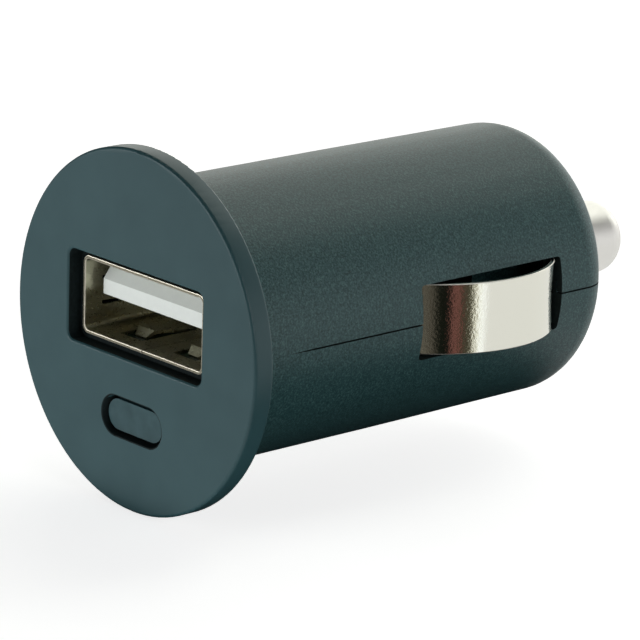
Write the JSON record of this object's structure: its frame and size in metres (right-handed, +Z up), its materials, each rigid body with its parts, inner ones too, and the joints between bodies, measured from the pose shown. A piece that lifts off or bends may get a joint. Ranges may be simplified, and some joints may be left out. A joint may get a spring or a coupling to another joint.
{
  "type": "car usb charger plug",
  "caption": "Short round 12 V car socket plug with a flanged face, one USB-A port, a power light, bowed side contacts and a sprung centre contact.",
  "frame": {"origin": "on the barrel's axis, at the rear face of the flange, which stops against the socket's rim", "axes": "+Y along the axis the way the plug goes into the socket, +Z up with the power light below the port, +X right seen from the face"},
  "size_m": [0.0256, 0.0454, 0.0256],
  "materials": {
    "housing": "fine spark texture, blue-grey",
    "receptacle": "nickel-plated sheet",
    "insulator": "ivory",
    "gold_contact": "gold flash",
    "lens": "smoky, translucent",
    "board": "green solder mask",
    "black_component": "moulded epoxy",
    "ferrite": "sintered ferrite",
    "copper_wire": "enamelled copper",
    "can_sleeve": "shrink sleeve",
    "chip_body": "ceramic",
    "leaf_nickel": "bright nickel plate",
    "tinned_steel": "tin plate",
    "contact_nickel": "satin nickel plate",
    "brass_strip": "plain strip"
  },
  "bodies": {
    "housing": {"front_cap": "housing", "upper_shell": "housing", "lower_shell": "housing", "usb_shell": "receptacle", "usb_tongue": "insulator", "usb_pin_1": "gold_contact", "usb_pin_2": "gold_contact", "usb_pin_3": "gold_contact", "usb_pin_4": "gold_contact", "led_lens": "lens", "power_led": "insulator", "circuit_board": "board", "converter_chip": "black_component", "inductor_core": "ferrite", "inductor_winding": "copper_wire", "input_capacitor": "can_sleeve", "output_capacitor": "can_sleeve", "rectifier_diode": "black_component", "chip_resistors": "black_component", "chip_capacitors": "chip_body", "right_leaf_pin": "tinned_steel", "left_leaf_pin": "tinned_steel", "right_ground_wire": "tinned_steel", "left_ground_wire": "tinned_steel", "contact_spring": "tinned_steel", "positive_terminal": "brass_strip"},
    "right_leaf": {"right_leaf": "leaf_nickel"},
    "left_leaf": {"left_leaf": "leaf_nickel"},
    "centre_contact": {"centre_contact": "contact_nickel"}
  },
  "joints": [
    {"name": "right_leaf_flex", "type": "hinge", "parent": "housing", "child": "right_leaf", "pos_m": [0.00703, 0.01685, 0], "axis": [0, 0, 1], "range_deg": [0, 19.5], "stiffness_Nm_per_rad": 0.2},
    {"name": "left_leaf_flex", "type": "hinge", "parent": "housing", "child": "left_leaf", "pos_m": [-0.00703, 0.01685, 0], "axis": [0, 0, -1], "range_deg": [0, 19.5], "stiffness_Nm_per_rad": 0.2},
    {"name": "centre_contact_slide", "type": "slide", "parent": "housing", "child": "centre_contact", "axis": [0, -1, 0], "range_m": [0, 0.0025], "stiffness_N_per_m": 1200, "springref_m": -0.0015, "deforming": ["contact_spring"]}
  ]
}
